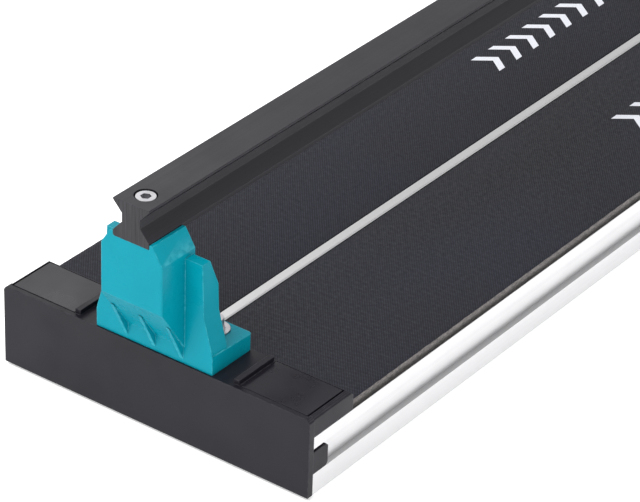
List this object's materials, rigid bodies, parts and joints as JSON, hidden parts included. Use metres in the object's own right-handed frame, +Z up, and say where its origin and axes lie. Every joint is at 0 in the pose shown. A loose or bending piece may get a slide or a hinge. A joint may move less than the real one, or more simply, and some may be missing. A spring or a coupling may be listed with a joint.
{
  "type": "tile cutter",
  "caption": "Manual tile cutter: flat base with rubber mats and breaking ridge, single guide rail on brackets, sliding carriage with lever, scoring wheel and breaker foot.",
  "frame": {"origin": "on the surface the cutter stands on, under the middle of the base", "axes": "+X along the cut towards the fence end, +Y to the left seen from the user's end, +Z up"},
  "size_m": [1.142, 0.243, 0.3205],
  "materials": {
    "aluminium": "mill finish extrusion, satin",
    "ridge": "satin, machined edges",
    "mat": "finely woven texture, semi matt",
    "black_plastic": "fine spark-eroded moulding texture",
    "rail_black": "black anodised, satin",
    "teal_paint": "smooth gloss coat over a casting",
    "bright_screw": "zinc plated",
    "rubber": "matt",
    "scale": "printed ruler strip",
    "tool_steel": "ground",
    "fork_cast": "cast, bead blasted",
    "bronze": "sintered bronze",
    "tube_chrome": "plated tube",
    "roller_steel": "hardened, turned",
    "bearing_steel": "ground rings with a steel shield"
  },
  "bodies": {
    "base": {"base_extrusion": "aluminium", "mat_left": "mat", "mat_right": "mat", "breaking_ridge": "ridge", "end_cap_near": "black_plastic", "end_cap_far": "black_plastic", "cap_cover_near_left": "black_plastic", "cap_cover_near_right": "black_plastic", "cap_cover_far_left": "black_plastic", "cap_cover_far_right": "black_plastic", "cap_screws": "bright_screw", "guide_rail": "rail_black", "rail_bracket_near": "teal_paint", "rail_bracket_far": "teal_paint", "rail_screws": "bright_screw", "bracket_bolts": "bright_screw", "bracket_washers": "bright_screw", "bracket_nuts": "bright_screw", "rubber_feet": "rubber", "fence_bar": "aluminium", "fence_scale": "scale", "fence_screws": "bright_screw"},
    "carriage": {"carriage_housing": "teal_paint", "carriage_cover": "black_plastic", "cover_screws": "bright_screw", "rail_wipers": "rubber", "roller_axles": "tool_steel", "roller_spacers": "tool_steel", "axle_nuts": "bright_screw", "eccentric_bushes": "tool_steel", "lever_stops": "rubber", "pivot_pin": "tool_steel", "pivot_washers": "rubber", "pivot_clips": "bright_screw"},
    "lever": {"lever_fork": "fork_cast", "fork_bushes": "bronze", "tool_yoke": "tool_steel", "yoke_screws": "bright_screw", "handle_tube": "tube_chrome", "handle_grip": "rubber", "handle_screw": "bright_screw", "wheel_axle": "tool_steel", "foot_pin": "tool_steel"},
    "wheel": {"scoring_wheel": "tool_steel"},
    "foot": {"breaker_foot": "tool_steel", "foot_pads": "rubber"},
    "stop": {"stop_slider": "teal_paint", "stop_nut": "tool_steel"},
    "knob": {"stop_knob": "black_plastic", "stop_stud": "tool_steel"},
    "arm": {"guide_arm": "aluminium", "arm_pin": "tool_steel"},
    "roller_near_left": {"roller_near_left": "roller_steel", "bearing_near_left": "bearing_steel"},
    "roller_near_right": {"roller_near_right": "roller_steel", "bearing_near_right": "bearing_steel"},
    "roller_far_left": {"roller_far_left": "roller_steel", "bearing_far_left": "bearing_steel"},
    "roller_far_right": {"roller_far_right": "roller_steel", "bearing_far_right": "bearing_steel"}
  },
  "joints": [
    {"name": "carriage_slide", "type": "slide", "parent": "base", "child": "carriage", "axis": [1, 0, 0], "range_m": [-0.855, 0]},
    {"name": "lever_lift", "type": "hinge", "parent": "carriage", "child": "lever", "pos_m": [0.41, 0, 0.124], "axis": [0, 1, 0], "range_deg": [0, 42]},
    {"name": "scoring_wheel_spin", "type": "hinge", "parent": "lever", "child": "wheel", "pos_m": [0.4573, 0, 0.0871], "axis": [0, 1, 0], "continuous": true},
    {"name": "breaker_foot_tilt", "type": "hinge", "parent": "lever", "child": "foot", "pos_m": [0.386, 0, 0.068], "axis": [0, 1, 0], "range_deg": [-15, 15]},
    {"name": "roller_near_left_spin", "type": "hinge", "parent": "carriage", "child": "roller_near_left", "pos_m": [0.372, 0.0204, 0.162], "axis": [0, 0, 1], "continuous": true},
    {"name": "roller_near_right_spin", "type": "hinge", "parent": "carriage", "child": "roller_near_right", "pos_m": [0.372, -0.0204, 0.162], "axis": [0, 0, 1], "continuous": true},
    {"name": "roller_far_left_spin", "type": "hinge", "parent": "carriage", "child": "roller_far_left", "pos_m": [0.448, 0.0204, 0.162], "axis": [0, 0, 1], "continuous": true},
    {"name": "roller_far_right_spin", "type": "hinge", "parent": "carriage", "child": "roller_far_right", "pos_m": [0.448, -0.0204, 0.162], "axis": [0, 0, 1], "continuous": true},
    {"name": "stop_slide", "type": "slide", "parent": "base", "child": "stop", "axis": [0, 1, 0], "range_m": [-0.006, 0.034]},
    {"name": "guide_arm_swing", "type": "hinge", "parent": "stop", "child": "arm", "pos_m": [0.4595, -0.084, 0.0503], "axis": [0, 0, 1], "range_deg": [0, 45]},
    {"name": "stop_knob_turn", "type": "hinge", "parent": "stop", "child": "knob", "pos_m": [0.482, -0.084, 0.08], "axis": [0, 0, 1], "range_deg": [0, 180]}
  ],
  "couplings": [
    {"joint": "roller_near_left_spin", "follows": "carriage_slide", "rad_per_m": -76.923},
    {"joint": "roller_near_right_spin", "follows": "carriage_slide", "rad_per_m": 76.923},
    {"joint": "roller_far_left_spin", "follows": "carriage_slide", "rad_per_m": -76.923},
    {"joint": "roller_far_right_spin", "follows": "carriage_slide", "rad_per_m": 76.923}
  ]
}
